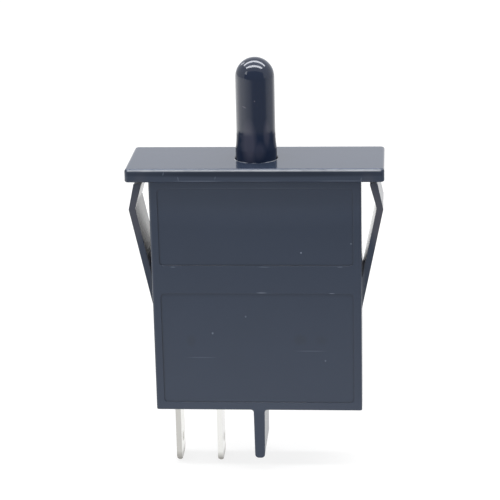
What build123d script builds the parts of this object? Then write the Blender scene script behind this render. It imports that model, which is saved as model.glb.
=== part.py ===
from build123d import *
import math
import os

# Plunger door switch, snap-in panel mount, for a lamp that goes out when the door shuts.
# Millimetres. X runs along the flange, Y from the front face to the back, Z up out of the panel.
# The origin is the centre of the flange's underside, which is the face that rests on the panel.

# ---- case
case_width = 30.6
case_depth = 11.0
case_height = 35.4
wall = 1.2
floor_thick = 1.7
cover_thick = 1.2
case_edge = 0.35
case_low_edge = 0.15
lintel_height = 1.2
ceiling_drop = 0.4

# ---- flange
flange_overhang = 3.3
flange_lip = 1.0
flange_thick = 1.95
flange_corner = 0.6
flange_top_edge = 0.45
flange_low_edge = 0.12
flange_hole_edge = 0.1

# ---- sunk fields on the front face
field_sink = 0.12
field_rim = 1.2
field_low_rim = 1.2
field_corner = 0.6
upper_field_height = 11.65
crossbar_height = 4.25

# ---- snap arms beside the case
arm_setback = 1.25
arm_tip_drop = 0.8
arm_stand_out = 3.13
arm_tip_in = 0.85
arm_knee_drop = 4.7
arm_root_drop = 19.8
arm_thick = 0.95
arm_tip_thick = 1.15
arm_relief_depth = 0.3
arm_relief_gap = 0.25

# ---- plunger
pin_dia = 5.68
pin_reach = 14.85
shank_dia = 6.0
shank_show = 1.55
shank_flare = 2.3
plunger_travel = 9.0
plunger_fit = 0.1
stop_gap = 0.1
slider_spare = 1.8
slider_thick = 3.0
slider_slot_margin = 1.5
slider_slot_end = 2.5
hub_gap = 0.5
bore_dia = 3.8
bore_above_flange = 7.05
wedge_rise = 1.6

# ---- return spring
spring_wire = 0.4
spring_wire_sides = 5
spring_bore_gap = 0.25
spring_turns = 9
spring_gap = 0.05
seat_clearance = 1.7
seat_thick = 2.0
seat_dia = 4.6
post_gap = 0.2
post_height = 3.5

# ---- divider inside the case, and the fin it ends in under the case
divider_thick = 1.65
fin_length = 7.7
fin_draft = 0.1
fin_tip_round = 0.55
fin_root_round = 0.4

# ---- terminals, cut from one strip thickness
tab_width = 4.8
tab_thick = 0.8
tab_show = 9.8
tab_tip_taper = 0.9
tab_hole_dia = 1.4
tab_hole_from_tip = 3.2
tab_gap = 0.05
tab_pitch = 6.25
common_tab_inset = 1.6
shoulder_width = 6.6
shoulder_height = 2.6
strip_width = 4.2

# ---- contacts and the spring leaf
leaf_thick = 0.25
leaf_width = 3.8
leaf_grip = 2.6
leaf_foot_gap = 0.6
stake_dia = 1.1
stake_pitch = 1.5
stake_gap = 0.08
contact_dia = 2.8
contact_head = 0.6
contact_shank_dia = 1.4
contact_tail = 0.3
contact_tail_dia = 2.0
contact_clearance = 1.1
strip_overlap = 1.6
strip_leg = 4.8
strip_bend_round = 0.5
nose_reach = 0.75
nose_below_slider = 0.6
nose_gap = 0.12
leaf_top_rise = 1.0

# ---- back cover, its tongues, ribs and pins
rib_thick = 0.8
rib_from_wall = 7.5
rib_gap = 0.1
rib_spare = 0.7
tongue_thick = 0.8
tongue_reach = 1.5
tongue_top = 1.5
cover_fit = 0.1
cover_pin_width = 2.7
cover_pin_height = 2.2
cover_pin_lead = 0.3
cover_pin_to_tail = 0.3
cover_pin_below_slider = 4.0
socket_wall = 0.7
socket_gap = 0.03

# ---- places worked out from the sizes above
case_half = case_width / 2
inner_half = case_half - wall
case_front = -case_depth / 2
case_back = case_depth / 2
inner_front = case_front + wall
inner_back = case_back - cover_thick
inner_floor = -case_height + floor_thick
arm_knee_reach = case_half + arm_stand_out
arm_tip_reach = arm_knee_reach - arm_tip_in
arm_half_depth = case_depth / 2 - arm_setback
hub_dia = inner_back - inner_front - 2 * hub_gap
inner_top = -ceiling_drop
slider_top = inner_top - stop_gap
slider_bottom = slider_top - plunger_travel - slider_spare
slider_lowest = slider_bottom - plunger_travel
hole_radius = shank_dia / 2 + plunger_fit
bore_top = flange_thick + bore_above_flange
seat_z = slider_lowest - seat_clearance
fin_tip = -case_height - fin_length
tab_tip = -case_height - tab_show
common_tab_x = -(inner_half - common_tab_inset)
fixed_tab_x = common_tab_x + tab_pitch
leaf_foot = inner_floor + leaf_foot_gap
common_top = leaf_foot + leaf_grip
contact_z = slider_lowest - contact_clearance - contact_dia / 2
strip_bend_z = contact_z - strip_leg
nose_z = slider_bottom - nose_below_slider
common_face_x = common_tab_x + tab_thick / 2
leaf_face_x = common_face_x + leaf_thick
fixed_face_x = leaf_face_x + 2 * contact_head
fixed_leg_x = fixed_face_x + tab_thick
wedge_low_half = -(leaf_face_x + nose_reach + nose_gap)
wedge_high_half = wedge_low_half + wedge_rise
rib_x = inner_half - rib_from_wall
rib_low = slider_lowest - rib_spare
strip_front = -strip_width / 2 - 2 * tab_gap
cover_pin_outer = -(fixed_leg_x + contact_tail + cover_pin_to_tail)
cover_pin_inner = cover_pin_outer - cover_pin_width
cover_pin_top = slider_lowest - cover_pin_below_slider
cover_pin_low = cover_pin_top - cover_pin_height


def slab(x0, x1, y0, y1, z0, z1):
    """A plain block between two corners."""
    size = (x1 - x0, y1 - y0, z1 - z0)
    centre = ((x0 + x1) / 2, (y0 + y1) / 2, (z0 + z1) / 2)
    return Pos(*centre) * Box(*size)


def prism_along_y(points, y0, y1):
    """An outline given in X and Z, carried from y0 to y1."""
    plane = Plane(origin=(0, y1, 0), x_dir=(1, 0, 0), z_dir=(0, -1, 0))
    outline = make_face(Polyline(*points, close=True))
    return extrude(plane * outline, y1 - y0)


def prism_along_x(points, x0, x1):
    """An outline given in Y and Z, carried from x0 to x1."""
    plane = Plane(origin=(x0, 0, 0), x_dir=(0, 1, 0), z_dir=(1, 0, 0))
    outline = make_face(Polyline(*points, close=True))
    return extrude(plane * outline, x1 - x0)


def disc_along_x(x0, x1, radius, z):
    """A round piece on an axis along X, between two faces."""
    return Pos((x0 + x1) / 2, 0, z) * Rot(0, 90, 0) * Cylinder(radius, x1 - x0)


def edges_along(shape, axis, where):
    """The straight edges along one axis that pass a test on their centre."""
    return [e for e in shape.edges().filter_by(axis) if where(e.center())]


def flange():
    """The cover flange: a rounded plate with broken edges and a hole for the shank."""
    width = case_width + 2 * flange_overhang
    depth = case_depth + 2 * flange_lip
    plate = extrude(RectangleRounded(width, depth, flange_corner), flange_thick)
    plate = fillet(plate.faces().sort_by(Axis.Z)[-1].edges(), flange_top_edge)
    plate = chamfer(plate.faces().sort_by(Axis.Z)[0].edges(), flange_low_edge)
    plate -= Pos(0, 0, flange_thick / 2) * Cylinder(hole_radius, 2 * flange_thick)
    holes = plate.edges().filter_by(GeomType.CIRCLE)
    rim = [e for e in holes if abs(e.radius - hole_radius) < 0.01 and e.center().Z > flange_thick / 2]
    return chamfer(rim, flange_hole_edge)


def arm_reliefs():
    """Shallow pockets in the flange's underside that let the arm tips spring freely."""
    inner = arm_tip_reach - arm_tip_thick - arm_relief_gap
    outer = case_half + flange_overhang + 1
    half = arm_half_depth + arm_relief_gap
    right = slab(inner, outer, -half, half, -1, arm_relief_depth)
    return [right, mirror(right, Plane.YZ)]


def snap_arm():
    """One sprung arm: up from its root on the side wall to the knee, then in to the tip."""
    fall = arm_stand_out / (arm_root_drop - arm_knee_drop)
    inner_root = arm_knee_drop + (arm_stand_out - arm_thick) / fall
    buried = case_half - wall / 2
    outline = [
        (arm_tip_reach, -arm_tip_drop),
        (arm_knee_reach, -arm_knee_drop),
        (case_half, -arm_root_drop),
        (buried, -arm_root_drop),
        (buried, -inner_root),
        (case_half, -inner_root),
        (arm_knee_reach - arm_thick, -arm_knee_drop + arm_thick / 6),
        (arm_tip_reach - arm_tip_thick, -arm_tip_drop),
    ]
    arm = prism_along_y(outline, -arm_half_depth, arm_half_depth)
    knee = edges_along(arm, Axis.Y, lambda c: c.X > arm_knee_reach - 0.05)
    arm = fillet(knee, arm_thick / 2)
    tips = edges_along(arm, Axis.Y, lambda c: c.Z > -arm_tip_drop - 0.05)
    return fillet(tips, arm_thick / 4)


def front_field(top, bottom):
    """The shallow sunk field between two heights on the front face."""
    width = case_width - 2 * field_rim
    plane = Plane(origin=(0, case_front, (top + bottom) / 2), x_dir=(1, 0, 0), z_dir=(0, 1, 0))
    return extrude(plane * RectangleRounded(width, top - bottom, field_corner), field_sink)


def front_fields():
    """The upper and lower fields, with the crossbar between them."""
    upper_bottom = -field_rim - upper_field_height
    lower_top = upper_bottom - crossbar_height
    upper = front_field(-field_rim, upper_bottom)
    lower = front_field(lower_top, -case_height + field_low_rim)
    return [upper, lower]


def fin():
    """The divider's fin under the case: full depth, slightly drafted, with a rounded tip."""
    top_half = divider_thick / 2
    tip_half = top_half - fin_draft
    outline = [
        (-top_half, inner_floor),
        (-top_half, -case_height),
        (-tip_half, fin_tip),
        (tip_half, fin_tip),
        (top_half, -case_height),
        (top_half, inner_floor),
    ]
    blade = prism_along_y(outline, case_front, inner_back)
    tips = edges_along(blade, Axis.Y, lambda c: c.Z < fin_tip + 0.05)
    return fillet(tips, fin_tip_round)


def divider():
    """The wall between the two halves of the case, with the spring's seat and post on top."""
    half = divider_thick / 2
    post_radius = bore_dia / 2 - spring_bore_gap - spring_wire - post_gap
    web = slab(-half, half, inner_front, inner_back, inner_floor, seat_z - seat_thick)
    seat = Pos(0, 0, seat_z - seat_thick / 2) * Cylinder(seat_dia / 2, seat_thick)
    post = Pos(0, 0, seat_z + post_height / 2) * Cylinder(post_radius, post_height)
    post = chamfer(post.faces().sort_by(Axis.Z)[-1].edges(), post_radius / 3)
    return web + seat + post


def terminal_locators():
    """Pairs of low ribs on the front wall that hold each terminal's shoulder upright."""
    top = inner_floor + shoulder_height
    ribs = []
    for tab_x in (common_tab_x, fixed_tab_x):
        for side in (-1, 1):
            near = tab_x + side * (tab_thick / 2 + tab_gap)
            far = near + side * rib_thick
            x0, x1 = sorted((near, far))
            ribs.append(slab(x0, x1, inner_front, strip_front, inner_floor, top))
    return ribs


def terminal_slot(tab_x):
    """The slot in the case floor, open to the back, that a terminal drops into."""
    half = tab_thick / 2 + tab_gap
    front = -tab_width / 2 - tab_gap
    return slab(tab_x - half, tab_x + half, front, case_back, -case_height - 1, inner_floor + 1)


def pin_socket(side):
    """The square-holed socket on the front wall that a cover pin is pressed into."""
    inner, outer = cover_pin_inner - socket_wall, cover_pin_outer + socket_wall
    x0, x1 = sorted((side * inner, side * outer))
    block = slab(x0, x1, inner_front, strip_front, cover_pin_low - socket_wall, cover_pin_top + socket_wall)
    x0, x1 = sorted((side * (cover_pin_inner - socket_gap), side * (cover_pin_outer + socket_gap)))
    low, high = cover_pin_low - socket_gap, cover_pin_top + socket_gap
    return block - slab(x0, x1, inner_front, strip_front + 1, low, high)


def front_shell():
    """The front, side and floor walls, open at the back below the lintel, with the fin."""
    shell = slab(-case_half, case_half, case_front, case_back, -case_height, flange_thick / 2)
    shell = fillet(edges_along(shell, Axis.Z, lambda c: True), case_edge)
    shell -= slab(-case_half, case_half, inner_back, case_back, -case_height, -lintel_height)
    low_face = shell.faces().sort_by(Axis.Z)[0]
    shell = fillet([e for e in low_face.edges() if e.center().Y < inner_back - 0.01], case_low_edge)
    shell -= slab(-inner_half, inner_half, inner_front, inner_back, inner_floor, inner_top)
    shell += fin()
    at_root = [e for e in shell.edges().filter_by(Axis.Y) if abs(e.center().Z + case_height) < 0.02]
    return fillet([e for e in at_root if abs(e.center().X) < divider_thick], fin_root_round)


def housing():
    """Flange, front shell, divider, fin and snap arms: one moulding, open at the back."""
    shell = front_shell()
    for field in front_fields():
        shell -= field
    shell += divider()
    for side in (-1, 1):
        rib_x0 = side * rib_x - rib_thick / 2
        rib_y = -slider_thick / 2 - rib_gap
        shell += slab(rib_x0, rib_x0 + rib_thick, inner_front, rib_y, rib_low, inner_top)
        shell += pin_socket(side)
    for rib in terminal_locators():
        shell += rib
    for tab_x in (common_tab_x, fixed_tab_x):
        shell -= terminal_slot(tab_x)
    arm = snap_arm()
    shell += arm
    shell += mirror(arm, Plane.YZ)
    plate = flange()
    for pocket in arm_reliefs():
        plate -= pocket
    shell -= Cylinder(hole_radius, 2 * flange_thick)
    return plate + shell


def cover_pin(side):
    """A flat pin that reaches from the cover through the case to its socket on the front wall."""
    x0, x1 = sorted((side * cover_pin_inner, side * cover_pin_outer))
    tip = inner_front + cover_pin_lead
    pin = slab(x0, x1, tip, inner_back, cover_pin_low, cover_pin_top)
    return chamfer(pin.faces().sort_by(Axis.Y)[0].edges(), cover_pin_lead)


def back_cover():
    """The plate that shuts the back, with side tongues, guide ribs, slot keys and two pins."""
    top = -lintel_height - cover_fit / 2
    plate = slab(-case_half, case_half, inner_back, case_back, -case_height, top)
    plate = fillet(edges_along(plate, Axis.Z, lambda c: c.Y > inner_back + 0.01), case_edge)
    low_face = plate.faces().sort_by(Axis.Z)[0]
    plate = fillet([e for e in low_face.edges() if e.center().Y > inner_back + 0.01], case_low_edge)
    for side in (-1, 1):
        outer = side * (inner_half - cover_fit)
        x0, x1 = sorted((outer, outer - side * tongue_thick))
        tongue_y = inner_back - tongue_reach
        plate += slab(x0, x1, tongue_y, inner_back, inner_floor + cover_fit, -tongue_top)
        rib_x0 = side * rib_x - rib_thick / 2
        rib_y = slider_thick / 2 + rib_gap
        plate += slab(rib_x0, rib_x0 + rib_thick, rib_y, inner_back, rib_low, -tongue_top)
        plate += cover_pin(side)
    for tab_x in (common_tab_x, fixed_tab_x):
        half = tab_thick / 2
        key_y = tab_width / 2 + tab_gap
        plate += slab(tab_x - half, tab_x + half, key_y, inner_back, -case_height, inner_floor)
    return plate


def pin_and_hub():
    """The turned form of the push pin: dome, pin, flare, shank and the hub under the flange."""
    pin_r = pin_dia / 2
    shank_r = shank_dia / 2
    tip_z = flange_thick + pin_reach
    dome_z = tip_z - pin_r
    flare_low = flange_thick + shank_show
    flare_top = flare_low + shank_flare
    flare_mid = (pin_r + (shank_r - pin_r) / 4, flare_low + shank_flare / 2)
    dome_mid = (pin_r * math.sin(math.pi / 4), dome_z + pin_r * math.cos(math.pi / 4))
    hub = Polyline(
        (0, slider_bottom),
        (hub_dia / 2, slider_bottom),
        (hub_dia / 2, slider_top),
        (shank_r, slider_top),
        (shank_r, flare_low),
    )
    flare = ThreePointArc((shank_r, flare_low), flare_mid, (pin_r, flare_top))
    pin = Line((pin_r, flare_top), (pin_r, dome_z))
    dome = ThreePointArc((pin_r, dome_z), dome_mid, (0, tip_z))
    axis_line = Line((0, tip_z), (0, slider_bottom))
    return revolve(Plane.XZ * make_face(hub + flare + pin + dome + axis_line), Axis.Z, 360)


def plunger():
    """The push pin with its hub and wedge-sided slider, hollow from below for the spring."""
    ramp_top = nose_z + plunger_travel
    slope = wedge_rise / plunger_travel
    bottom_half = wedge_low_half + (slider_bottom - nose_z) * slope
    wings = [
        (-wedge_high_half, slider_top),
        (wedge_high_half, slider_top),
        (wedge_high_half, ramp_top),
        (bottom_half, slider_bottom),
        (-bottom_half, slider_bottom),
        (-wedge_high_half, ramp_top),
    ]
    body = pin_and_hub() + prism_along_y(wings, -slider_thick / 2, slider_thick / 2)
    slot_in = hub_dia / 2 + slider_slot_margin
    slot_out = wedge_low_half - slider_slot_margin
    slot_low = slider_bottom + slider_slot_end
    slot_high = slider_top - slider_slot_end
    for side in (-1, 1):
        x0, x1 = sorted((side * slot_in, side * slot_out))
        body -= slab(x0, x1, -slider_thick, slider_thick, slot_low, slot_high)
    bore_foot = slider_bottom - 1
    body -= Pos(0, 0, (bore_top + bore_foot) / 2) * Cylinder(bore_dia / 2, bore_top - bore_foot)
    return body


def return_spring():
    """The coil between the seat on the divider and the top of the plunger's bore, its wire many-sided."""
    low = seat_z + spring_gap + spring_wire / 2
    high = bore_top - spring_gap - spring_wire / 2
    radius = (bore_dia - spring_wire) / 2 - spring_bore_gap
    coil = Helix(pitch=(high - low) / spring_turns, height=high - low, radius=radius)
    coil = Pos(0, 0, low) * coil
    start = Plane(origin=coil @ 0, z_dir=coil % 0)
    section = start * RegularPolygon(spring_wire / 2, spring_wire_sides)
    return sweep(section, path=coil, is_frenet=True)


def terminal_blade(tab_x, top_z):
    """A push-on tab with a tapered tip, a latch hole and a shoulder that rests on the case floor."""
    tab_half = tab_width / 2
    strip_half = strip_width / 2
    shoulder_half = shoulder_width / 2
    shoulder_top = inner_floor + shoulder_height
    profile = [
        (-tab_half, inner_floor),
        (-tab_half, tab_tip + tab_tip_taper),
        (-tab_half + tab_tip_taper, tab_tip),
        (tab_half - tab_tip_taper, tab_tip),
        (tab_half, tab_tip + tab_tip_taper),
        (tab_half, inner_floor),
        (shoulder_half, inner_floor),
        (shoulder_half, shoulder_top),
        (strip_half, shoulder_top),
        (strip_half, top_z),
        (-strip_half, top_z),
        (-strip_half, shoulder_top),
        (-shoulder_half, shoulder_top),
        (-shoulder_half, inner_floor),
    ]
    x0 = tab_x - tab_thick / 2
    x1 = tab_x + tab_thick / 2
    blade = prism_along_x(profile, x0, x1)
    tip = edges_along(blade, Axis.Y, lambda c: c.Z < tab_tip + 0.05)
    blade = chamfer(tip, tab_thick / 3)
    return blade - disc_along_x(x0 - 1, x1 + 1, tab_hole_dia / 2, tab_tip + tab_hole_from_tip)


def stakes(radius, x1):
    """Two round stakes pressed out of the common terminal, through the leaf."""
    middle = (leaf_foot + common_top) / 2
    pair = []
    for offset in (-stake_pitch / 2, stake_pitch / 2):
        centre = Pos((common_face_x + x1) / 2, offset, middle) * Rot(0, 90, 0)
        pair.append(centre * Cylinder(radius, x1 - common_face_x))
    return pair


def terminal_common():
    """The outer terminal, which carries the spring leaf on two stakes."""
    blade = terminal_blade(common_tab_x, common_top)
    for stake in stakes(stake_dia / 2, leaf_face_x):
        blade += stake
    return blade


def terminal_fixed():
    """The inner terminal, cranked sideways to carry the fixed contact."""
    half = tab_thick / 2
    top_z = contact_z + strip_overlap
    outline = [
        (fixed_face_x, top_z),
        (fixed_face_x, strip_bend_z - half),
        (fixed_tab_x + half, strip_bend_z - half),
        (fixed_tab_x + half, strip_bend_z + half),
        (fixed_leg_x, strip_bend_z + half),
        (fixed_leg_x, top_z),
    ]
    crank = prism_along_y(outline, -strip_width / 2, strip_width / 2)
    corner = edges_along(crank, Axis.Y, lambda c: c.X < fixed_leg_x - half and c.Z < strip_bend_z)
    crank = fillet(corner, tab_thick)
    shoulder = edges_along(crank, Axis.Y, lambda c: c.X > fixed_tab_x and c.Z > strip_bend_z)
    crank = fillet(shoulder, strip_bend_round)
    terminal = terminal_blade(fixed_tab_x, strip_bend_z) + crank
    return terminal - disc_along_x(fixed_face_x - 1, fixed_leg_x + 1, contact_shank_dia / 2, contact_z)


def contact_rivet(face_x, strip, toward):
    """A silver contact: a flat round head, a shank through the strip and an upset tail."""
    head_end = face_x + toward * contact_head
    back = face_x - toward * strip
    tail_end = back - toward * contact_tail
    head = disc_along_x(*sorted((face_x, head_end)), contact_dia / 2, contact_z)
    rims = head.edges().filter_by(GeomType.CIRCLE)
    head = chamfer([e for e in rims if abs(e.center().X - head_end) < 0.01], contact_head / 4)
    shank = disc_along_x(*sorted((face_x, back)), contact_shank_dia / 2, contact_z)
    tail = disc_along_x(*sorted((back, tail_end)), contact_tail_dia / 2, contact_z)
    return head + shank + tail


def fixed_contact():
    """The contact riveted into the fixed terminal's leg."""
    return contact_rivet(fixed_face_x, tab_thick, -1)


def moving_contact():
    """The contact riveted into the leaf."""
    return contact_rivet(leaf_face_x, leaf_thick, 1)


def contact_leaf():
    """The sprung leaf: staked at its foot, pierced for its contact, with a rolled nose on top."""
    top = nose_z + leaf_top_rise
    nose_low = nose_z - leaf_top_rise
    left = common_face_x
    right = leaf_face_x
    upright = Polyline((right, nose_low), (right, leaf_foot), (left, leaf_foot), (left, nose_low))
    outer = ThreePointArc((right, nose_low), (right + nose_reach, nose_z), (right, top))
    inner = ThreePointArc((left, nose_low), (left + nose_reach, nose_z), (left, top))
    cap = Line((left, top), (right, top))
    plane = Plane(origin=(0, leaf_width / 2, 0), x_dir=(1, 0, 0), z_dir=(0, -1, 0))
    leaf = extrude(plane * make_face(upright + outer + inner + cap), leaf_width)
    for hole in stakes(stake_dia / 2 + stake_gap, leaf_face_x + 1):
        leaf -= hole
    return leaf - disc_along_x(left - 1, right + 1, contact_shank_dia / 2, contact_z)


nodes = {
    "housing": housing,
    "back_cover": back_cover,
    "plunger": plunger,
    "return_spring": return_spring,
    "terminal_common": terminal_common,
    "terminal_fixed": terminal_fixed,
    "contact_leaf": contact_leaf,
    "fixed_contact": fixed_contact,
    "moving_contact": moving_contact,
}

os.makedirs("parts", exist_ok=True)
for name, make in nodes.items():
    export_step(make(), f"parts/{name}.step")
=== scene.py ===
import math

import bpy
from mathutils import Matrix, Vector


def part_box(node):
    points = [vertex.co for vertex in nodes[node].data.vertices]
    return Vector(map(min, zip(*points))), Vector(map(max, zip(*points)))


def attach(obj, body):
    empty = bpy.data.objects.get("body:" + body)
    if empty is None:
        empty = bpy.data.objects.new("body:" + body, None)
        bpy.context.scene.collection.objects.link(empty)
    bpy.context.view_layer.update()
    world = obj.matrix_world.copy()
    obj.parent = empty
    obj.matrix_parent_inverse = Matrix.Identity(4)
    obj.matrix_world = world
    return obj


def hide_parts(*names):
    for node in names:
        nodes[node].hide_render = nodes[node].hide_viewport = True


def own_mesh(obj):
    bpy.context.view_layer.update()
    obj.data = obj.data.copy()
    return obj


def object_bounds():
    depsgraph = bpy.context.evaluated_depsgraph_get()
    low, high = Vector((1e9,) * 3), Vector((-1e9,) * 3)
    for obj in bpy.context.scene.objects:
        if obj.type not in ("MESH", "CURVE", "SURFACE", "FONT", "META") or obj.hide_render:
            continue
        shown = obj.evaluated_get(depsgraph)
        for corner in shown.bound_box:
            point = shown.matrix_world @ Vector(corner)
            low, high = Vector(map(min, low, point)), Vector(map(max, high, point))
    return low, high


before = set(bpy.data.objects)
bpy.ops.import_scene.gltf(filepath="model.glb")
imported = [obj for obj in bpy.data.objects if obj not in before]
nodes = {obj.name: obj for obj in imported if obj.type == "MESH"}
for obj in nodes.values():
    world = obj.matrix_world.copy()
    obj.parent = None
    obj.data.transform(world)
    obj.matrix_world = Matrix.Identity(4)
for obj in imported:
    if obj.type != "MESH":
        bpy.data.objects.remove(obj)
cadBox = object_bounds()
mm = 0.001


def hexToLinear(hexCode):
    # sRGB hex to the linear colour that the shaders want
    channels = [int(hexCode[i:i + 2], 16) / 255 for i in (0, 2, 4)]
    linear = [c / 12.92 if c <= 0.04045 else ((c + 0.055) / 1.055) ** 2.4 for c in channels]
    return (*linear, 1.0)


def addNode(tree, kind, values=None, links=None, **settings):
    # one node with its settings, its input values and the sockets that feed it
    node = tree.nodes.new(kind)
    for key, value in settings.items():
        setattr(node, key, value)
    for key, value in (values or {}).items():
        node.inputs[key].default_value = value
    for key, socket in (links or {}).items():
        tree.links.new(socket, node.inputs[key])
    return node


def newMaterial(name):
    material = bpy.data.materials.new(name)
    material.use_nodes = True
    tree = material.node_tree
    tree.nodes.clear()
    return material, tree


def finishMaterial(tree, shader):
    addNode(tree, "ShaderNodeOutputMaterial", links={"Surface": shader.outputs[0]})


def link(name, data):
    # a new object in the scene, from a mesh, a lamp or a camera
    piece = bpy.data.objects.new(name, data)
    bpy.context.collection.objects.link(piece)
    return piece


def dress(nodeName, material):
    slots = nodes[nodeName].data.materials
    slots.clear()
    slots.append(material)


markCore = 0.45     # the share of a mark's size that is at full strength


def addMarks(tree, place, marks):
    # soft elliptical marks seen from the front:
    # x, z, half width and half height in mm, lean in degrees, strength
    total = None
    for x, z, halfWide, halfHigh, lean, strength in marks:
        local = addNode(tree, "ShaderNodeMapping",
                        {"Location": (x * mm, 0.0, z * mm), "Rotation": (0.0, math.radians(lean), 0.0),
                         "Scale": (halfWide * mm, 1.0, halfHigh * mm)}, {"Vector": place},
                        vector_type="TEXTURE")
        flat = addNode(tree, "ShaderNodeVectorMath", {1: (1.0, 0.0, 1.0)},
                       {0: local.outputs["Vector"]}, operation="MULTIPLY")
        reach = addNode(tree, "ShaderNodeVectorMath", links={0: flat.outputs["Vector"]},
                        operation="LENGTH")
        spot = addNode(tree, "ShaderNodeMapRange",
                       {"From Min": 1.0, "From Max": markCore, "To Max": strength},
                       {"Value": reach.outputs["Value"]})
        if total is None:
            total = spot.outputs["Result"]
        else:
            total = addNode(tree, "ShaderNodeMath", links={0: total, 1: spot.outputs["Result"]},
                            operation="MAXIMUM").outputs[0]
    return total


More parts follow.
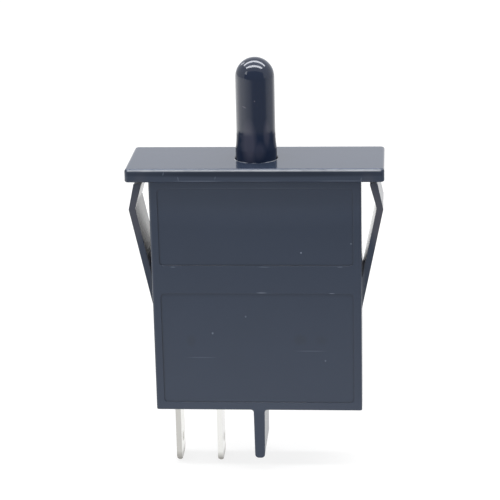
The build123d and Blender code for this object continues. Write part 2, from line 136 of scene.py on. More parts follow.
# moulded PBT: the front is eroded-die satin, all the other faces are polished
casePlastic = {
    "colour": "1a293e",
    "mottle": "1e2d43",
    "mottleSize": 6.0,      # mm across a cloud of the moulding's flow
    "frontFrom": (-0.75, -0.95),        # how squarely a face looks forward to count as the front
    "grainSize": 0.3,       # mm, the real grain is about 0.05 and too fine to show
    "grainDepth": 0.006,    # mm
    "edgeRound": 0.09,      # mm, the die's own edge
    "satin": 0.42,
    "polished": 0.14,
    "ior": 1.5,
    "shine": 0.5,
    # where knocks have polished or whitened it, with painted light and painted highlights mixed in: on lips
    # and edges, under the flange and along the foot
    "wearAndPaintedLight": "8f99ad",
    "wearAndPaintedLightMarks": [
        # knocks and specks
        (6.56, -10.89, 0.13, 0.13, 0, 1.0),
        (13.78, -9.52, 0.16, 0.1, 0, 0.5),
        # a painted highlight on the lower field's top edge
        (10.98, -17.07, 0.5, 0.1, 0, 0.45),
        # knocks and specks
        (-6.61, -23.32, 0.16, 0.2, 0, 0.5),
        (-1.69, -20.71, 0.14, 0.18, 0, 0.35),
        (9.93, -27.57, 0.14, 0.18, 0, 0.35),
        # a painted highlight on the lower field's top edge
        (0.75, -16.98, 0.9, 0.16, 0, 0.25),
        # dashes of painted highlight on the upper field's bottom lip
        (-12.11, -13.05, 0.45, 0.08, 0, 0.3),
        (1.16, -13.03, 1.0, 0.07, 0, 0.25),
        (12.17, -13.01, 0.5, 0.08, 0, 0.3),
        (-8.4, -27.12, 2.6, 0.09, 0, 0.13),     # painted highlight on the lower lips over the sockets of the cover's pins
        (7.75, -26.05, 2.6, 0.09, 0, 0.14),
        (0.0, -1.12, 17.0, 0.1, 0, 0.08),       # painted highlight on the upper field's top edge
        (0.0, -2.2, 32.0, 5.2, 0, 0.035),       # wide, faint painted light: under the flange and along the bottom rim
        (0.0, -34.7, 18.0, 1.1, 0, 0.03),
        # faint painted light low on the flange's front, and a broken painted highlight along its lower edge
        (0.0, 0.5, 24.0, 0.5, 0, 0.02),
        (-8.0, 0.2, 4.5, 0.12, 0, 0.2),
        (0.5, 0.2, 5.0, 0.1, 0, 0.1),
        (12.5, 0.2, 5.0, 0.12, 0, 0.15),
        # short scratches along the flange's front edge
        (-12.93, 1.3, 0.05, 0.35, 12, 0.5),
        (-10.81, 0.55, 0.05, 0.4, -8, 0.45),
        (-5.5, 0.68, 0.05, 0.3, 15, 0.35),
        (15.3, 0.4, 0.06, 0.4, 10, 0.4),
    ],
    "paintedFootLight": (0.033, 0.056),            # painted light: how much paler the eroded front is, at the flange and at the foot
    "paintedFootLightEnd": -34.0,     # mm
    # the arms are a little browner
    "warm": "9f9089",
    "warmMarks": [
        (-17.6, -6.0, 2.0, 8.0, 12, 0.11),
        (17.6, -6.0, 2.0, 8.0, -12, 0.13),
    ],
    # painted shade: dark smudges where the top lips of the shallow pads shade them
    "paintedPadShade": "0c121c",
    "paintedPadShadeMarks": [
        (-9.78, -24.5, 0.9, 1.1, 0, 0.2),
        (6.3, -24.3, 1.2, 1.0, 0, 0.22),
        (9.4, -24.4, 1.1, 0.9, 0, 0.15),
    ],
    # painted shade in a darker band along the top of the flange's front, which is also the least glossy
    "paintedShadeBand": "182130",
    "paintedShadeBandMarks": [(0.0, 1.2, 24.0, 0.55, 0, 1.0)],
    "paintedShadeBandShine": 0.16,
    # a painted highlight on the lip of the hole, broken by noise, at the front alone
    "paintedLipHighlight": "dfe3ea",
    "paintedLipHighlightRadius": 3.2,      # mm
    "paintedLipHighlightReach": (0.14, 0.07),          # mm off that radius, from none to full
    "paintedLipHighlightFront": (-0.4, -1.4),          # mm forward of the pin's axis, from none to full
    "paintedLipHighlightAbove": 1.5,       # mm, only higher than this
    "lipBreakSize": 0.8,        # mm
    "lipBreakCut": (0.39, 0.5),             # of the noise, from whole to chipped white
    # a painted highlight in a broken line along the flange's top front edge, which is dull all round it
    "paintedEdgeHighlight": "9da1a8",
    "edgeCentre": (0.0, -6.05, 1.5),    # mm, the middle of that edge's rounding
    "edgeLean": 60.0,       # degrees from upright
    "edgeReach": (0.418, 0.446),        # mm from that middle
    "edgeBreakSize": 2.5,   # mm
    "edgeBreakCut": (0.3, 0.6),         # of the noise, from faint to full
    "edgeLeast": 0.6,       # the share that is left where the line is faint
    "wornLean": 45.0,       # degrees from upright
    "wornReach": (0.33, 0.37),          # mm
    "wornRoughness": 0.5,
    # painted shade in the inner corners of the sunk fields
    "paintedCornerShade": "0a0f18",
    "paintedCornerShadeReach": 0.3,      # mm
    "paintedCornerShadeFrom": (0.95, 0.6),           # how open a spot is, from none to full
    "paintedCornerShadeElsewhere": 0.1,              # share of the corners that the marks leave out
    "paintedCornerShadeMarks": [         # along the bottoms of the fields and up their left sides
        (-1.0, -12.9, 22.0, 1.0, 0, 0.8),
        (-1.0, -34.3, 24.0, 1.0, 0, 0.6),
        (-14.2, -8.0, 1.5, 9.0, 0, 0.5),
        (-14.3, -25.0, 1.5, 16.0, 0, 0.6),
    ],
    # painted light: a pale film on what faces up
    "paintedTopLight": "7b8190",
    "paintedTopLightFrom": (0.7, 0.98),            # how squarely a face looks up, from none to full
    "paintedTopLightShare": 0.13,
    # painted light deep between arm and case
    "paintedCreviceLight": "dde0e8",
    "creviceReach": 2.5,    # mm
    "creviceFrom": (0.6, 0.2),          # how open a spot is, from none to full
    "creviceTop": (-11.0, -12.5),       # mm, from none to full
    "creviceSide": 15.25,   # mm, only farther out than this
    "creviceShares": (0.4, 0.8),        # on the left and on the right
    "creviceBlend": 1.0,    # mm each side of the middle, where one share turns to the other
    # the fin and the arms are less polished
    "finTop": -35.45,       # mm
    "armsFrom": 15.4,       # mm, farther out than this is an arm
    "lessPolished": 0.45,
    # but the right arm's lower leg has lost only about half as much
    "rightBelow": -5.5,     # mm
    "rightPolish": 0.47,
    "openSamples": 8,
    "edgeSamples": 6,
}


def layMarks(tree, c, at, tone, kind):
    # the marks of one kind, on the front face alone: gives the new tone and where they lie
    share = addNode(tree, "ShaderNodeMath",
                    links={0: addMarks(tree, at["place"], c[kind + "Marks"]), 1: at["front"]},
                    operation="MULTIPLY")
    tone = addNode(tree, "ShaderNodeMix", {"B": hexToLinear(c[kind])},
                   {"A": tone, "Factor": share.outputs[0]}, data_type="RGBA")
    return tone.outputs["Result"], share.outputs[0]


def layPaintedFootLight(tree, c, at, tone):
    # painted light: the eroded front is paler towards its foot
    paintedFootLight = addNode(tree, "ShaderNodeMapRange",
                    {"From Min": 0.0, "From Max": c["paintedFootLightEnd"] * mm, "To Min": c["paintedFootLight"][0],
                     "To Max": c["paintedFootLight"][1]}, {"Value": at["spot"].outputs["Z"]})
    share = addNode(tree, "ShaderNodeMath", links={0: paintedFootLight.outputs["Result"], 1: at["front"]},
                    operation="MULTIPLY")
    tone = addNode(tree, "ShaderNodeMix", {"B": hexToLinear(c["wearAndPaintedLight"])},
                   {"A": tone, "Factor": share.outputs[0]}, data_type="RGBA")
    return tone.outputs["Result"]


def layPaintedLipHighlight(tree, c, at, tone):
    # a painted highlight in a ring round the hole, kept where its lip is close, in front, above and broken by
    # noise
    flat = addNode(tree, "ShaderNodeVectorMath", {1: (1.0, 1.0, 0.0)}, {0: at["place"]},
                   operation="MULTIPLY")
    radius = addNode(tree, "ShaderNodeVectorMath", links={0: flat.outputs["Vector"]}, operation="LENGTH")
    off = addNode(tree, "ShaderNodeMath", {1: c["paintedLipHighlightRadius"] * mm}, {0: radius.outputs["Value"]},
                  operation="SUBTRACT")
    off = addNode(tree, "ShaderNodeMath", links={0: off.outputs[0]}, operation="ABSOLUTE")
    ring = addNode(tree, "ShaderNodeMapRange",
                   {"From Min": c["paintedLipHighlightReach"][0] * mm, "From Max": c["paintedLipHighlightReach"][1] * mm},
                   {"Value": off.outputs[0]})
    near = addNode(tree, "ShaderNodeMapRange",
                   {"From Min": c["paintedLipHighlightFront"][0] * mm, "From Max": c["paintedLipHighlightFront"][1] * mm},
                   {"Value": at["spot"].outputs["Y"]})
    lipBreaks = addNode(tree, "ShaderNodeTexNoise", {"Scale": 1 / (c["lipBreakSize"] * mm), "Detail": 2.0},
                    {"Vector": at["place"]})
    lipBreaks = addNode(tree, "ShaderNodeMapRange", {"From Min": c["lipBreakCut"][0], "From Max": c["lipBreakCut"][1]},
                    {"Value": lipBreaks.outputs["Fac"]})
    above = addNode(tree, "ShaderNodeMath", {1: c["paintedLipHighlightAbove"] * mm}, {0: at["spot"].outputs["Z"]},
                    operation="GREATER_THAN")
    share = ring.outputs["Result"]
    for part in (near.outputs["Result"], lipBreaks.outputs["Result"], above.outputs[0]):
        share = addNode(tree, "ShaderNodeMath", links={0: share, 1: part}, operation="MULTIPLY").outputs[0]
    tone = addNode(tree, "ShaderNodeMix", {"B": hexToLinear(c["paintedLipHighlight"])}, {"A": tone, "Factor": share},
                   data_type="RGBA")
    return tone.outputs["Result"]


def outFromEdge(tree, c, at, lean, reach):
    # from 0 to 1 between two distances out of the middle of the flange's edge, in a leaning direction
    fromEdge = addNode(tree, "ShaderNodeVectorMath", {1: [v * mm for v in c["edgeCentre"]]},
                       {0: at["place"]}, operation="SUBTRACT")
    lean = math.radians(lean)
    outward = addNode(tree, "ShaderNodeVectorMath", {1: (0.0, -math.sin(lean), math.cos(lean))},
                      {0: fromEdge.outputs["Vector"]}, operation="DOT_PRODUCT")
    share = addNode(tree, "ShaderNodeMapRange", {"From Min": reach[0] * mm, "From Max": reach[1] * mm},
                    {"Value": outward.outputs["Value"]})
    return share.outputs["Result"]


def layPaintedEdgeHighlight(tree, c, at, tone):
    # a painted highlight along the flange's top front edge, in a broken line
    breaks = addNode(tree, "ShaderNodeTexNoise", {"Scale": 1 / (c["edgeBreakSize"] * mm), "Detail": 2.0},
                     {"Vector": at["place"]})
    breaks = addNode(tree, "ShaderNodeMapRange",
                     {"From Min": c["edgeBreakCut"][0], "From Max": c["edgeBreakCut"][1],
                      "To Min": c["edgeLeast"]}, {"Value": breaks.outputs["Fac"]})
    line = addNode(tree, "ShaderNodeMath",
                   links={0: outFromEdge(tree, c, at, c["edgeLean"], c["edgeReach"]),
                          1: breaks.outputs["Result"]}, operation="MULTIPLY")
    tone = addNode(tree, "ShaderNodeMix", {"B": hexToLinear(c["paintedEdgeHighlight"])},
                   {"A": tone, "Factor": line.outputs[0]}, data_type="RGBA")
    return tone.outputs["Result"]


def closedIn(tree, c, reach, cut):
    # from 0 in the open to 1 in a corner or a gap
    openness = addNode(tree, "ShaderNodeAmbientOcclusion", {"Distance": reach * mm},
                       samples=c["openSamples"], only_local=True)
    share = addNode(tree, "ShaderNodeMapRange", {"From Min": cut[0], "From Max": cut[1]},
                    {"Value": openness.outputs["AO"]})
    return share.outputs["Result"]


def layPaintedCornerShade(tree, c, at, tone):
    # painted shade: dark lines in the corners of the sunk fields
    where = addNode(tree, "ShaderNodeMath", {1: c["paintedCornerShadeElsewhere"]},
                    {0: addMarks(tree, at["place"], c["paintedCornerShadeMarks"])}, operation="MAXIMUM")
    share = addNode(tree, "ShaderNodeMath",
                    links={0: closedIn(tree, c, c["paintedCornerShadeReach"], c["paintedCornerShadeFrom"]), 1: where.outputs[0]},
                    operation="MULTIPLY")
    share = addNode(tree, "ShaderNodeMath", links={0: share.outputs[0], 1: at["front"]},
                    operation="MULTIPLY")
    tone = addNode(tree, "ShaderNodeMix", {"B": hexToLinear(c["paintedCornerShade"])},
                   {"A": tone, "Factor": share.outputs[0]}, data_type="RGBA")
    return tone.outputs["Result"]


def layPaintedLight(tree, c, at, tone):
    # painted light: a thin pale film on what faces up, and paler deep in the crevices
    film = addNode(tree, "ShaderNodeMapRange",
                   {"From Min": c["paintedTopLightFrom"][0], "From Max": c["paintedTopLightFrom"][1], "To Max": c["paintedTopLightShare"]},
                   {"Value": at["facing"].outputs["Z"]})
    tone = addNode(tree, "ShaderNodeMix", {"B": hexToLinear(c["paintedTopLight"])},
                   {"A": tone, "Factor": film.outputs["Result"]}, data_type="RGBA")
    low = addNode(tree, "ShaderNodeMapRange",
                  {"From Min": c["creviceTop"][0] * mm, "From Max": c["creviceTop"][1] * mm},
                  {"Value": at["spot"].outputs["Z"]})
    beside = addNode(tree, "ShaderNodeMath", {1: c["creviceSide"] * mm}, {0: at["aside"]},
                     operation="GREATER_THAN")
    bySide = addNode(tree, "ShaderNodeMapRange",
                     {"From Min": -c["creviceBlend"] * mm, "From Max": c["creviceBlend"] * mm,
                      "To Min": c["creviceShares"][0], "To Max": c["creviceShares"][1]},
                     {"Value": at["spot"].outputs["X"]})
    share = closedIn(tree, c, c["creviceReach"], c["creviceFrom"])
    for part in (low.outputs["Result"], beside.outputs[0], bySide.outputs["Result"]):
        share = addNode(tree, "ShaderNodeMath", links={0: share, 1: part}, operation="MULTIPLY").outputs[0]
    tone = addNode(tree, "ShaderNodeMix", {"B": hexToLinear(c["paintedCreviceLight"])},
                   {"A": tone.outputs["Result"], "Factor": share}, data_type="RGBA")
    return tone.outputs["Result"]


def caseRoughness(tree, c, at):
    # satin in front, less polished on the fin and the arms, dull along the worn edge
    x = at["spot"].outputs["X"]
    z = at["spot"].outputs["Z"]
    onFin = addNode(tree, "ShaderNodeMath", {1: c["finTop"] * mm}, {0: z}, operation="LESS_THAN")
    onArm = addNode(tree, "ShaderNodeMath", {1: c["armsFrom"] * mm}, {0: at["aside"]},
                    operation="GREATER_THAN")
    below = addNode(tree, "ShaderNodeMath", {1: 0.0}, {0: z}, operation="LESS_THAN")
    onArm = addNode(tree, "ShaderNodeMath", links={0: onArm.outputs[0], 1: below.outputs[0]},
                    operation="MULTIPLY")
    onRight = addNode(tree, "ShaderNodeMath", {1: 0.0}, {0: x}, operation="GREATER_THAN")
    lowLeg = addNode(tree, "ShaderNodeMath", {1: c["rightBelow"] * mm}, {0: z}, operation="LESS_THAN")
    slick = addNode(tree, "ShaderNodeMath", links={0: onRight.outputs[0], 1: lowLeg.outputs[0]},
                    operation="MULTIPLY")
    slick = addNode(tree, "ShaderNodeMath", {1: c["rightPolish"]}, {0: slick.outputs[0]},
                    operation="MULTIPLY")
    onArm = addNode(tree, "ShaderNodeMath", links={0: onArm.outputs[0], 1: slick.outputs[0]},
                    operation="SUBTRACT", use_clamp=True)
    coarse = addNode(tree, "ShaderNodeMath", links={0: onFin.outputs[0], 1: onArm.outputs[0]},
                     operation="MAXIMUM")
    coarse = addNode(tree, "ShaderNodeMath", {1: c["lessPolished"]}, {0: coarse.outputs[0]},
                     operation="MULTIPLY")
    matt = addNode(tree, "ShaderNodeMath", links={0: at["front"], 1: coarse.outputs[0]},
                   operation="MAXIMUM")
    roughness = addNode(tree, "ShaderNodeMapRange", {"To Min": c["polished"], "To Max": c["satin"]},
                        {"Value": matt.outputs[0]})
    roughness = addNode(tree, "ShaderNodeMix", {"B": c["wornRoughness"]},
                        {"Factor": outFromEdge(tree, c, at, c["wornLean"], c["wornReach"]),
                         "A": roughness.outputs["Result"]})
    return roughness.outputs["Result"]


def makeCasePlastic():
    material, tree = newMaterial("satinMouldedPbt")
    c = casePlastic
    coord = addNode(tree, "ShaderNodeTexCoord")
    place = coord.outputs["Object"]
    facing = addNode(tree, "ShaderNodeSeparateXYZ", links={"Vector": coord.outputs["Normal"]})
    spot = addNode(tree, "ShaderNodeSeparateXYZ", links={"Vector": place})
    aside = addNode(tree, "ShaderNodeMath", links={0: spot.outputs["X"]}, operation="ABSOLUTE")
    front = addNode(tree, "ShaderNodeMapRange",
                    {"From Min": c["frontFrom"][0], "From Max": c["frontFrom"][1]},
                    {"Value": facing.outputs["Y"]})
    # where a spot is, which way it faces, how far out it is and whether it is the front
    at = {"place": place, "spot": spot, "facing": facing, "aside": aside.outputs[0],
          "front": front.outputs["Result"]}
    cloud = addNode(tree, "ShaderNodeTexNoise", {"Scale": 1 / (c["mottleSize"] * mm), "Detail": 3.0},
                    {"Vector": place})
    tone = addNode(tree, "ShaderNodeMix", {"A": hexToLinear(c["colour"]), "B": hexToLinear(c["mottle"])},
                   {"Factor": cloud.outputs["Fac"]}, data_type="RGBA").outputs["Result"]
    spread = {}
    # painted shade in the band and on the pads, knocks with painted light, and the warmer arms
    for kind in ("paintedShadeBand", "paintedPadShade", "wearAndPaintedLight", "warm"):
        tone, spread[kind] = layMarks(tree, c, at, tone, kind)
    # painted light on the front, painted highlights on the hole's lip and the flange's edge, painted shade in
    # the corners, painted light on top and in the crevices
    for lay in (layPaintedFootLight, layPaintedLipHighlight, layPaintedEdgeHighlight, layPaintedCornerShade, layPaintedLight):
        tone = lay(tree, c, at, tone)
    shine = addNode(tree, "ShaderNodeMapRange", {"To Min": c["shine"], "To Max": c["paintedShadeBandShine"]},
                    {"Value": spread["paintedShadeBand"]})
    rounded = addNode(tree, "ShaderNodeBevel", {"Radius": c["edgeRound"] * mm}, samples=c["edgeSamples"])
    grain = addNode(tree, "ShaderNodeTexNoise", {"Scale": 1 / (c["grainSize"] * mm), "Detail": 2.0},
                    {"Vector": place})
    bump = addNode(tree, "ShaderNodeBump", {"Distance": c["grainDepth"] * mm},
                   {"Height": grain.outputs["Fac"], "Strength": at["front"],
                    "Normal": rounded.outputs["Normal"]})
    shader = addNode(tree, "ShaderNodeBsdfPrincipled", {"IOR": c["ior"]},
                     {"Base Color": tone, "Roughness": caseRoughness(tree, c, at),
                      "Specular IOR Level": shine.outputs["Result"], "Normal": bump.outputs["Normal"]})
    finishMaterial(tree, shader)
    return material


# polished acetal, the same blue-black, faintly drawn along its length by the die
pinPlastic = {
    "colour": "1f293e",
    "roughness": 0.05,
    "ior": 1.48,
    "shine": 0.5,
    "rubbedBelow": (6.5, 5.7),      # mm, the hole has dulled the foot of the pin
    "rubbedShine": 0.05,
    "drawSize": 1.4,        # mm between the faint flutes
    "drawStretch": 0.08,    # they are this much slower along the pin
    "drawDepth": 0.02,      # mm
    "drawStrength": 0.6,
    "frontFrom": (-0.2, -0.4),          # how squarely a spot looks forward to take the scuffs and the painted sheen
    "scuffAndSheen": "958f9e",
    "scuffsAndSheen": [
        # small scuffs high on the pin
        (-1.43, 10.03, 0.35, 0.12, 20, 0.25),
        (0.11, 10.97, 0.1, 0.12, 0, 0.35),
        # painted sheen on the front of the pin's lower part
        (-0.8, 4.7, 1.3, 4.0, 0, 0.13),
        (0.6, 3.6, 1.2, 1.6, 0, 0.07),
        (1.7, 6.0, 0.55, 2.4, 0, 0.1),
    ],
}


def makePinPlastic():
    material, tree = newMaterial("polishedAcetal")
    c = pinPlastic
    coord = addNode(tree, "ShaderNodeTexCoord")
    place = coord.outputs["Object"]
    facing = addNode(tree, "ShaderNodeSeparateXYZ", links={"Vector": coord.outputs["Normal"]})
    front = addNode(tree, "ShaderNodeMapRange",
                    {"From Min": c["frontFrom"][0], "From Max": c["frontFrom"][1]},
                    {"Value": facing.outputs["Y"]})
    scuffAndSheenShare = addNode(tree, "ShaderNodeMath",
                   links={0: addMarks(tree, place, c["scuffsAndSheen"]), 1: front.outputs["Result"]},
                   operation="MULTIPLY")
    tone = addNode(tree, "ShaderNodeMix", {"A": hexToLinear(c["colour"]), "B": hexToLinear(c["scuffAndSheen"])},
                   {"Factor": scuffAndSheenShare.outputs[0]}, data_type="RGBA")
    drawn = addNode(tree, "ShaderNodeMapping", {"Scale": (1.0, 1.0, c["drawStretch"])}, {"Vector": place})
    wave = addNode(tree, "ShaderNodeTexNoise", {"Scale": 1 / (c["drawSize"] * mm), "Detail": 2.0},
                   {"Vector": drawn.outputs["Vector"]})
    bump = addNode(tree, "ShaderNodeBump", {"Distance": c["drawDepth"] * mm, "Strength": c["drawStrength"]},
                   {"Height": wave.outputs["Fac"]})
    height = addNode(tree, "ShaderNodeSeparateXYZ", links={"Vector": place})
    shine = addNode(tree, "ShaderNodeMapRange",
                    {"From Min": c["rubbedBelow"][0] * mm, "From Max": c["rubbedBelow"][1] * mm,
                     "To Min": c["shine"], "To Max": c["rubbedShine"]}, {"Value": height.outputs["Z"]})
    shader = addNode(tree, "ShaderNodeBsdfPrincipled", {"Roughness": c["roughness"], "IOR": c["ior"]},
                     {"Base Color": tone.outputs["Result"], "Normal": bump.outputs["Normal"],
                      "Specular IOR Level": shine.outputs["Result"]})
    finishMaterial(tree, shader)
    return material


# metal strip and wire, with faint rolling or drawing marks along it, rollPitch mm apart
stripMetals = {
    # plated strip: soft and almost white, with painted shade at its tip
    "tinPlate": {"name": "tinPlatedBrass", "colour": "dfdfdd", "roughness": 0.3, "rollPitch": 0.2,
                 "sheared": "e3e3e0", "tip": "8d8b86"},
    # the same, with a darker sheared edge
    "darkEdgeTinPlate": {"name": "darkEdgeTinPlatedBrass", "colour": "dcdcd8", "roughness": 0.3, "rollPitch": 0.2,
                     "sheared": "bebdb9", "tip": "8a8883"},
    # bare strip: warm and coppery
    "bronze": {"name": "rolledPhosphorBronze", "colour": "c98f5a", "roughness": 0.3, "rollPitch": 0.2},
    # rivet heads: bright, a little creamy
    "silver": {"name": "contactSilver", "colour": "e6e2d8", "roughness": 0.25, "rollPitch": 0.3},
    # wire: cool mid grey
    "springSteel": {"name": "drawnSpringSteel", "colour": "a9abad", "roughness": 0.3, "rollPitch": 0.15},
}
rolling = {
    "stretch": 0.06,        # the marks are this much slower along the strip
    "roughnessSpread": 0.08,            # up and down
    "depth": 0.004,         # mm
    "strength": 0.5,
}
# a tab has another tone on its sheared front edge, painted shade at its tip, and painted light in its hole
tab = {
    "tip": -45.2,           # mm
    "wearAndPaintedLight": (1.7, 0.5),   # mm from the tip, where the painted shade begins, from none to full
    "shearedFrom": (-0.5, -0.9),        # how squarely a face looks forward to count as sheared
    "holeUp": 3.2,          # mm from the tip
    "holeRadius": 0.73,     # mm, a little over the hole's own
    # painted light in the hole: a pale wall that is hardly metallic
    "paintedBoreLight": "f4f3ee",
    "paintedBoreLightMetallic": 0.15,
}


def toneTabWithPaintedShadeAndLight(tree, c, coord, shader):
    place = coord.outputs["Object"]
    facing = addNode(tree, "ShaderNodeSeparateXYZ", links={"Vector": coord.outputs["Normal"]})
    edge = addNode(tree, "ShaderNodeMapRange",
                   {"From Min": tab["shearedFrom"][0], "From Max": tab["shearedFrom"][1]},
                   {"Value": facing.outputs["Y"]})
    tone = addNode(tree, "ShaderNodeMix", {"A": hexToLinear(c["colour"]), "B": hexToLinear(c["sheared"])},
                   {"Factor": edge.outputs["Result"]}, data_type="RGBA")
    height = addNode(tree, "ShaderNodeSeparateXYZ", links={"Vector": place})
    # painted shade at the tip
    tip = addNode(tree, "ShaderNodeMapRange",
                  {"From Min": (tab["tip"] + tab["wearAndPaintedLight"][0]) * mm,
                   "From Max": (tab["tip"] + tab["wearAndPaintedLight"][1]) * mm}, {"Value": height.outputs["Z"]})
    tone = addNode(tree, "ShaderNodeMix", {"B": hexToLinear(c["tip"])},
                   {"A": tone.outputs["Result"], "Factor": tip.outputs["Result"]}, data_type="RGBA")
    # painted light in the hole: a pale wall that is hardly metallic
    fromHole = addNode(tree, "ShaderNodeVectorMath", {1: (0.0, 0.0, (tab["tip"] + tab["holeUp"]) * mm)},
                       {0: place}, operation="SUBTRACT")
    fromHole = addNode(tree, "ShaderNodeVectorMath", {1: (0.0, 1.0, 1.0)},
                       {0: fromHole.outputs["Vector"]}, operation="MULTIPLY")
    fromHole = addNode(tree, "ShaderNodeVectorMath", links={0: fromHole.outputs["Vector"]},
                       operation="LENGTH")
    inHole = addNode(tree, "ShaderNodeMath", {1: tab["holeRadius"] * mm}, {0: fromHole.outputs["Value"]},
                     operation="LESS_THAN")
    tone = addNode(tree, "ShaderNodeMix", {"B": hexToLinear(tab["paintedBoreLight"])},
                   {"A": tone.outputs["Result"], "Factor": inHole.outputs[0]}, data_type="RGBA")
    metallic = addNode(tree, "ShaderNodeMapRange", {"To Min": 1.0, "To Max": tab["paintedBoreLightMetallic"]},
                       {"Value": inHole.outputs[0]})
    tree.links.new(metallic.outputs["Result"], shader.inputs["Metallic"])
    tree.links.new(tone.outputs["Result"], shader.inputs["Base Color"])


def makeStripMetal(c):
    material, tree = newMaterial(c["name"])
    coord = addNode(tree, "ShaderNodeTexCoord")
    stretch = addNode(tree, "ShaderNodeMapping", {"Scale": (1.0, 1.0, rolling["stretch"])},
                      {"Vector": coord.outputs["Object"]})
    roll = addNode(tree, "ShaderNodeTexNoise", {"Scale": 1 / (c["rollPitch"] * mm), "Detail": 3.0},
                   {"Vector": stretch.outputs["Vector"]})
    roughness = addNode(tree, "ShaderNodeMapRange",
                        {"To Min": c["roughness"] - rolling["roughnessSpread"],
                         "To Max": c["roughness"] + rolling["roughnessSpread"]},
                        {"Value": roll.outputs["Fac"]})
    bump = addNode(tree, "ShaderNodeBump",
                   {"Distance": rolling["depth"] * mm, "Strength": rolling["strength"]},
                   {"Height": roll.outputs["Fac"]})
    shader = addNode(tree, "ShaderNodeBsdfPrincipled",
                     {"Base Color": hexToLinear(c["colour"]), "Metallic": 1.0},
                     {"Roughness": roughness.outputs["Result"], "Normal": bump.outputs["Normal"]})
    if "tip" in c:
        toneTabWithPaintedShadeAndLight(tree, c, coord, shader)
    finishMaterial(tree, shader)
    return material


print("materials")
satinPbt = makeCasePlastic()
polishedAcetal = makePinPlastic()
metals = {key: makeStripMetal(values) for key, values in stripMetals.items()}

dress("housing", satinPbt)
dress("back_cover", satinPbt)
dress("plunger", polishedAcetal)
dress("terminal_common", metals["darkEdgeTinPlate"])
dress("terminal_fixed", metals["tinPlate"])
dress("contact_leaf", metals["bronze"])
dress("fixed_contact", metals["silver"])
dress("moving_contact", metals["silver"])


print("return spring")
returnSpring = {
    "turns": 14.0,
    "deadTurns": 1.5,       # closed coils at each end
    "wire": 0.4,            # mm
    "stepsPerTurn": 40,     # of the wire's path
    "wireSides": 12,
    "seatZ": -22.0,         # mm, where the spring stands
    "travel": 9.0,          # mm, how far the pin presses it
}
coilInputs = {
    "Turns": "NodeSocketFloat",
    "Coil Radius": "NodeSocketFloat",
    "Wire Radius": "NodeSocketFloat",
    "Length": "NodeSocketFloat",
    "Foot": "NodeSocketFloat",
    "Dead Share": "NodeSocketFloat",    # of all turns, closed at each end
    "Steps": "NodeSocketInt",
    "Wire Sides": "NodeSocketInt",
    "Material": "NodeSocketMaterial",
}


def makeCoilTree():
    # a coil that stands on its foot, closed at both ends; gives the tree and its inputs' identifiers
    tree = bpy.data.node_groups.new("closedEndSpring", "GeometryNodeTree")
    face = tree.interface
    face.new_socket("Geometry", in_out="OUTPUT", socket_type="NodeSocketGeometry")
    sockets = {name: face.new_socket(name, in_out="INPUT", socket_type=kind).identifier
               for name, kind in coilInputs.items()}
    given = addNode(tree, "NodeGroupInput")
    ring = addNode(tree, "GeometryNodeCurveSpiral", {"Height": 0.0},
                   {"Resolution": given.outputs["Steps"], "Rotations": given.outputs["Turns"],
                    "Start Radius": given.outputs["Coil Radius"], "End Radius": given.outputs["Coil Radius"]})
    along = addNode(tree, "GeometryNodeSplineParameter").outputs["Factor"]
    # closed coils lie a wire apart, and the rest of the length is shared between them
    wireStep = addNode(tree, "ShaderNodeMath", {1: 2.0}, {0: given.outputs["Wire Radius"]},
                       operation="MULTIPLY")
    solid = addNode(tree, "ShaderNodeMath", links={0: wireStep.outputs[0], 1: given.outputs["Turns"]},
                    operation="MULTIPLY")
    free = addNode(tree, "ShaderNodeMath", links={0: given.outputs["Length"], 1: solid.outputs[0]},
                   operation="SUBTRACT")
    farShare = addNode(tree, "ShaderNodeMath", {0: 1.0}, {1: given.outputs["Dead Share"]},
                       operation="SUBTRACT")
    openShare = addNode(tree, "ShaderNodeMapRange",
                        links={"Value": along, "From Min": given.outputs["Dead Share"],
                               "From Max": farShare.outputs[0]}, interpolation_type="SMOOTHSTEP")
    closedRise = addNode(tree, "ShaderNodeMath", links={0: along, 1: solid.outputs[0]}, operation="MULTIPLY")
    openRise = addNode(tree, "ShaderNodeMath",
                       links={0: openShare.outputs["Result"], 1: free.outputs[0], 2: closedRise.outputs[0]},
                       operation="MULTIPLY_ADD")
    rise = addNode(tree, "ShaderNodeMath", links={0: openRise.outputs[0], 1: given.outputs["Foot"]},
                   operation="ADD")
    offset = addNode(tree, "ShaderNodeCombineXYZ", links={"Z": rise.outputs[0]})
    path = addNode(tree, "GeometryNodeSetPosition",
                   links={"Geometry": ring.outputs["Curve"], "Offset": offset.outputs["Vector"]})
    section = addNode(tree, "GeometryNodeCurvePrimitiveCircle",
                      links={"Resolution": given.outputs["Wire Sides"],
                             "Radius": given.outputs["Wire Radius"]})
    wire = addNode(tree, "GeometryNodeCurveToMesh", {"Fill Caps": True},
                   {"Curve": path.outputs["Geometry"], "Profile Curve": section.outputs["Curve"]})
    real = addNode(tree, "GeometryNodeRealizeInstances", links={"Geometry": wire.outputs["Mesh"]})
    coated = addNode(tree, "GeometryNodeSetMaterial",
                     links={"Geometry": real.outputs["Geometry"], "Material": given.outputs["Material"]})
    addNode(tree, "NodeGroupOutput", links={"Geometry": coated.outputs["Geometry"]})
    return tree, sockets


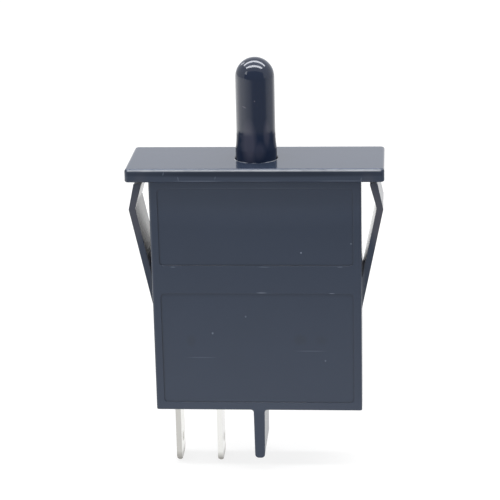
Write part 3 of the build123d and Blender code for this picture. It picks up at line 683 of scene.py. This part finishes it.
def makeReturnSpring():
    c = returnSpring
    low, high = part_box("return_spring")
    tree, sockets = makeCoilTree()
    given = {
        "Turns": c["turns"],
        "Coil Radius": (high[0] - low[0]) / 2 - c["wire"] * mm / 2,
        "Wire Radius": c["wire"] * mm / 2,
        "Length": high[2] - low[2] - c["wire"] * mm,
        "Foot": low[2] + c["wire"] * mm / 2,
        "Dead Share": c["deadTurns"] / c["turns"],
        "Steps": c["stepsPerTurn"],
        "Wire Sides": c["wireSides"],
        "Material": metals["springSteel"],
    }
    host = link("returnSpringHost", bpy.data.meshes.new("returnSpringHost"))
    maker = host.modifiers.new("closedEndSpring", "NODES")
    maker.node_group = tree
    for name, value in given.items():
        maker[sockets[name]] = value
    depsgraph = bpy.context.evaluated_depsgraph_get()
    mesh = bpy.data.meshes.new_from_object(host.evaluated_get(depsgraph))
    bpy.data.objects.remove(host)
    for polygon in mesh.polygons:
        polygon.use_smooth = len(polygon.vertices) == 4     # the wire, not its cut ends
    spring = link("returnSpringCoil", mesh)
    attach(spring, "case")
    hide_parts("return_spring")
    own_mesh(spring)


makeReturnSpring()


print("floor and light")
studio = {
    "floorFront": -600.0,   # mm, how far the white sweep comes forward
    "floorSize": 2000.0,    # mm
    "floorDrop": 0.05,      # mm under the tips of the tabs
    "floorTone": 0.25,      # the sweep's own grey
    "floorSeen": 0.8,       # glow that makes the sweep white to the eye
    "floorBounce": 0.55,    # glow that lights the object from below
    "floorNear": 0.92,      # glow in reflections close to the object
    "nearFar": (60.0, 120.0),       # mm, from close to far
    # glow in reflections farther out, by bearing: degrees from the front, positive to the right
    "floorRound": [
        (-180, 1.15), (-118, 1.67), (-80, 1.4), (-64, 1.35), (-51, 1.03), (-38, 0.77), (-25, 0.52),
        (-13, 0.15), (-5, 0.02), (60, 0.0), (67, 0.2), (75, 0.55), (90, 0.68), (117, 0.58),
        (140, 0.95), (165, 1.15), (180, 1.15),
    ],
    "worldLight": 0.7,      # as a light, and 1 where it is seen
    "cool": "f8faff",       # the tubes and cards are a little blue
    "stripLength": 1.2,     # m
    "stripWide": 0.06,      # m
    "stripPower": 2.4,      # W
    "frontStrip": (0.0, -0.16, 0.6),    # m
    "backStrip": (0.0, 0.23, 0.6),
    # cards seen only in reflections, lying: middle, half length and half width in m, strength
    "lying": {
        "frontTube": ((0.0, -0.16, 0.6), 0.52, 0.07, 16.0),
        "backTube": ((0.0, 0.23, 0.6), 0.62, 0.08, 13.0),
        "diffuser": ((0.0, 0.035, 0.62), 0.6, 0.2, 1.8),
    },
    # and standing, turned to the object: middle, half width and half height in m, strength
    "standing": {
        "darkSide": ((0.0, -0.62, 0.05), 1.0, 0.55, 0.32),
        "backdrop": ((0.0, 1.2, 0.4), 1.2, 0.42, 1.1),
        "leftPanel": ((-0.47, 0.51, 0.39), 0.05, 0.1, 6.0),
        "leftLamp": ((-0.56, -0.43, 0.37), 0.08, 0.12, 4.0),
    },
}


def seenRays(tree):
    # 1 for the rays that show the background: camera, glossy and transmission
    ray = addNode(tree, "ShaderNodeLightPath")
    seen = addNode(tree, "ShaderNodeMath",
                   links={0: ray.outputs["Is Camera Ray"], 1: ray.outputs["Is Glossy Ray"]},
                   operation="MAXIMUM")
    seen = addNode(tree, "ShaderNodeMath", links={0: seen.outputs[0], 1: ray.outputs["Is Transmission Ray"]},
                   operation="MAXIMUM")
    return seen.outputs[0]


def makeSweepPaper():
    # white to the eye, a softer light from below, and uneven in reflections, which draws the pin
    c = studio
    material, tree = newMaterial("paleSweep")
    ray = addNode(tree, "ShaderNodeLightPath")
    coord = addNode(tree, "ShaderNodeTexCoord")
    flat = addNode(tree, "ShaderNodeVectorMath", {1: (1.0, 1.0, 0.0)}, {0: coord.outputs["Object"]},
                   operation="MULTIPLY")
    reach = addNode(tree, "ShaderNodeVectorMath", links={0: flat.outputs["Vector"]}, operation="LENGTH")
    where = addNode(tree, "ShaderNodeSeparateXYZ", links={"Vector": flat.outputs["Vector"]})
    forward = addNode(tree, "ShaderNodeMath", {1: -1.0}, {0: where.outputs["Y"]}, operation="MULTIPLY")
    bearing = addNode(tree, "ShaderNodeMath", links={0: where.outputs["X"], 1: forward.outputs[0]},
                      operation="ARCTAN2")
    share = addNode(tree, "ShaderNodeMapRange", {"From Min": -math.pi, "From Max": math.pi},
                    {"Value": bearing.outputs[0]})
    around = addNode(tree, "ShaderNodeValToRGB", links={"Fac": share.outputs["Result"]})
    stops = around.color_ramp.elements
    for i, (angle, glow) in enumerate(c["floorRound"]):
        stop = stops[i] if i in (0, 1) else stops.new(1.0)      # a ramp starts with two stops
        stop.position = (angle + 180) / 360
        stop.color = (*[glow / 2] * 3, 1.0)     # halved here and doubled below, as a stop ends at 1
    far = addNode(tree, "ShaderNodeMath", {1: 2.0}, {0: around.outputs["Color"]}, operation="MULTIPLY")
    out = addNode(tree, "ShaderNodeMapRange",
                  {"From Min": c["nearFar"][0] * mm, "From Max": c["nearFar"][1] * mm},
                  {"Value": reach.outputs["Value"]})
    mirrored = addNode(tree, "ShaderNodeMix", {"A": c["floorNear"]},
                       {"Factor": out.outputs["Result"], "B": far.outputs[0]})
    plain = addNode(tree, "ShaderNodeMapRange", {"To Min": c["floorBounce"], "To Max": c["floorSeen"]},
                    {"Value": ray.outputs["Is Camera Ray"]})
    glow = addNode(tree, "ShaderNodeMix",
                   links={"Factor": ray.outputs["Is Glossy Ray"], "A": plain.outputs["Result"],
                          "B": mirrored.outputs["Result"]})
    matt = addNode(tree, "ShaderNodeBsdfDiffuse", {"Color": (*[c["floorTone"]] * 3, 1.0)})
    lift = addNode(tree, "ShaderNodeEmission", links={"Strength": glow.outputs["Result"]})
    both = addNode(tree, "ShaderNodeAddShader", links={0: matt.outputs[0], 1: lift.outputs[0]})
    # seen from below the sweep is clear, so that the foot of the switch can be looked at
    under = addNode(tree, "ShaderNodeNewGeometry")
    clear = addNode(tree, "ShaderNodeBsdfTransparent")
    side = addNode(tree, "ShaderNodeMixShader",
                   links={0: under.outputs["Backfacing"], 1: both.outputs[0], 2: clear.outputs[0]})
    finishMaterial(tree, side)
    return material


def makeFloor():
    c = studio
    low = cadBox[0][2] - c["floorDrop"] * mm
    half = c["floorSize"] * mm / 2
    front = c["floorFront"] * mm
    back = front + c["floorSize"] * mm
    mesh = bpy.data.meshes.new("floor")
    mesh.from_pydata([(-half, front, low), (half, front, low), (half, back, low), (-half, back, low)], [],
                     [(0, 1, 2, 3)])
    mesh.materials.append(makeSweepPaper())
    floor = link("floor", mesh)


def makeWorld():
    world = bpy.data.worlds.new("studio")
    bpy.context.scene.world = world
    world.use_nodes = True
    tree = world.node_tree
    tree.nodes.clear()
    strength = addNode(tree, "ShaderNodeMapRange", {"To Min": studio["worldLight"], "To Max": 1.0},
                       {"Value": seenRays(tree)})
    light = addNode(tree, "ShaderNodeBackground", {"Color": (1.0, 1.0, 1.0, 1.0)},
                    {"Strength": strength.outputs["Result"]})
    addNode(tree, "ShaderNodeOutputWorld", links={"Surface": light.outputs[0]})


def makeCard(name, corners, strength):
    # a sheet that glows more or less, and shows only in reflections
    mesh = bpy.data.meshes.new(name)
    mesh.from_pydata(corners, [], [(0, 1, 2, 3)])
    card = link(name, mesh)
    material, tree = newMaterial(name)
    finishMaterial(tree, addNode(tree, "ShaderNodeEmission",
                                 {"Color": hexToLinear(studio["cool"]), "Strength": strength}))
    mesh.materials.append(material)
    card.visible_camera = False
    card.visible_diffuse = False
    card.visible_shadow = False
    card.visible_transmission = False


def makeCards():
    for name, ((x, y, z), halfLong, halfWide, strength) in studio["lying"].items():
        makeCard(name, [(x - halfLong, y - halfWide, z), (x + halfLong, y - halfWide, z),
                        (x + halfLong, y + halfWide, z), (x - halfLong, y + halfWide, z)], strength)
    for name, ((x, y, z), halfWide, halfHigh, strength) in studio["standing"].items():
        away = math.hypot(x, y)
        dx = halfWide * y / away
        dy = -halfWide * x / away
        makeCard(name, [(x - dx, y - dy, z - halfHigh), (x + dx, y + dy, z - halfHigh),
                        (x + dx, y + dy, z + halfHigh), (x - dx, y - dy, z + halfHigh)], strength)


def aimLamp(name, place):
    # a long soft lamp that looks at the flange
    c = studio
    lamp = bpy.data.lights.new(name, "AREA")
    lamp.shape = "RECTANGLE"
    lamp.size = c["stripLength"]
    lamp.size_y = c["stripWide"]
    lamp.energy = c["stripPower"]
    holder = link(name, lamp)
    holder.location = place
    holder.rotation_euler = Vector(place).to_track_quat("Z", "Y").to_euler()
    holder.visible_camera = False
    holder.visible_glossy = False


makeFloor()
makeWorld()
makeCards()
aimLamp("frontLamp", studio["frontStrip"])
aimLamp("backLamp", studio["backStrip"])


print("camera")
view = {
    "place": (20.063, -270.171, 74.646),    # mm
    "turn": (72.23, 1.26, 4.106),           # degrees
    "lens": 138.78,         # mm
    "sensor": 36.0,         # mm
    "nearest": 10.0,        # mm, closer than this nothing is drawn
}
camera = bpy.data.cameras.new("camera")
camera.lens = view["lens"]
camera.sensor_width = view["sensor"]
camera.clip_start = view["nearest"] * mm
cameraHolder = link("camera", camera)
cameraHolder.location = [v * mm for v in view["place"]]
cameraHolder.rotation_euler = [math.radians(a) for a in view["turn"]]
bpy.context.scene.camera = cameraHolder
bpy.context.scene.view_settings.view_transform = "Standard"

print("done")
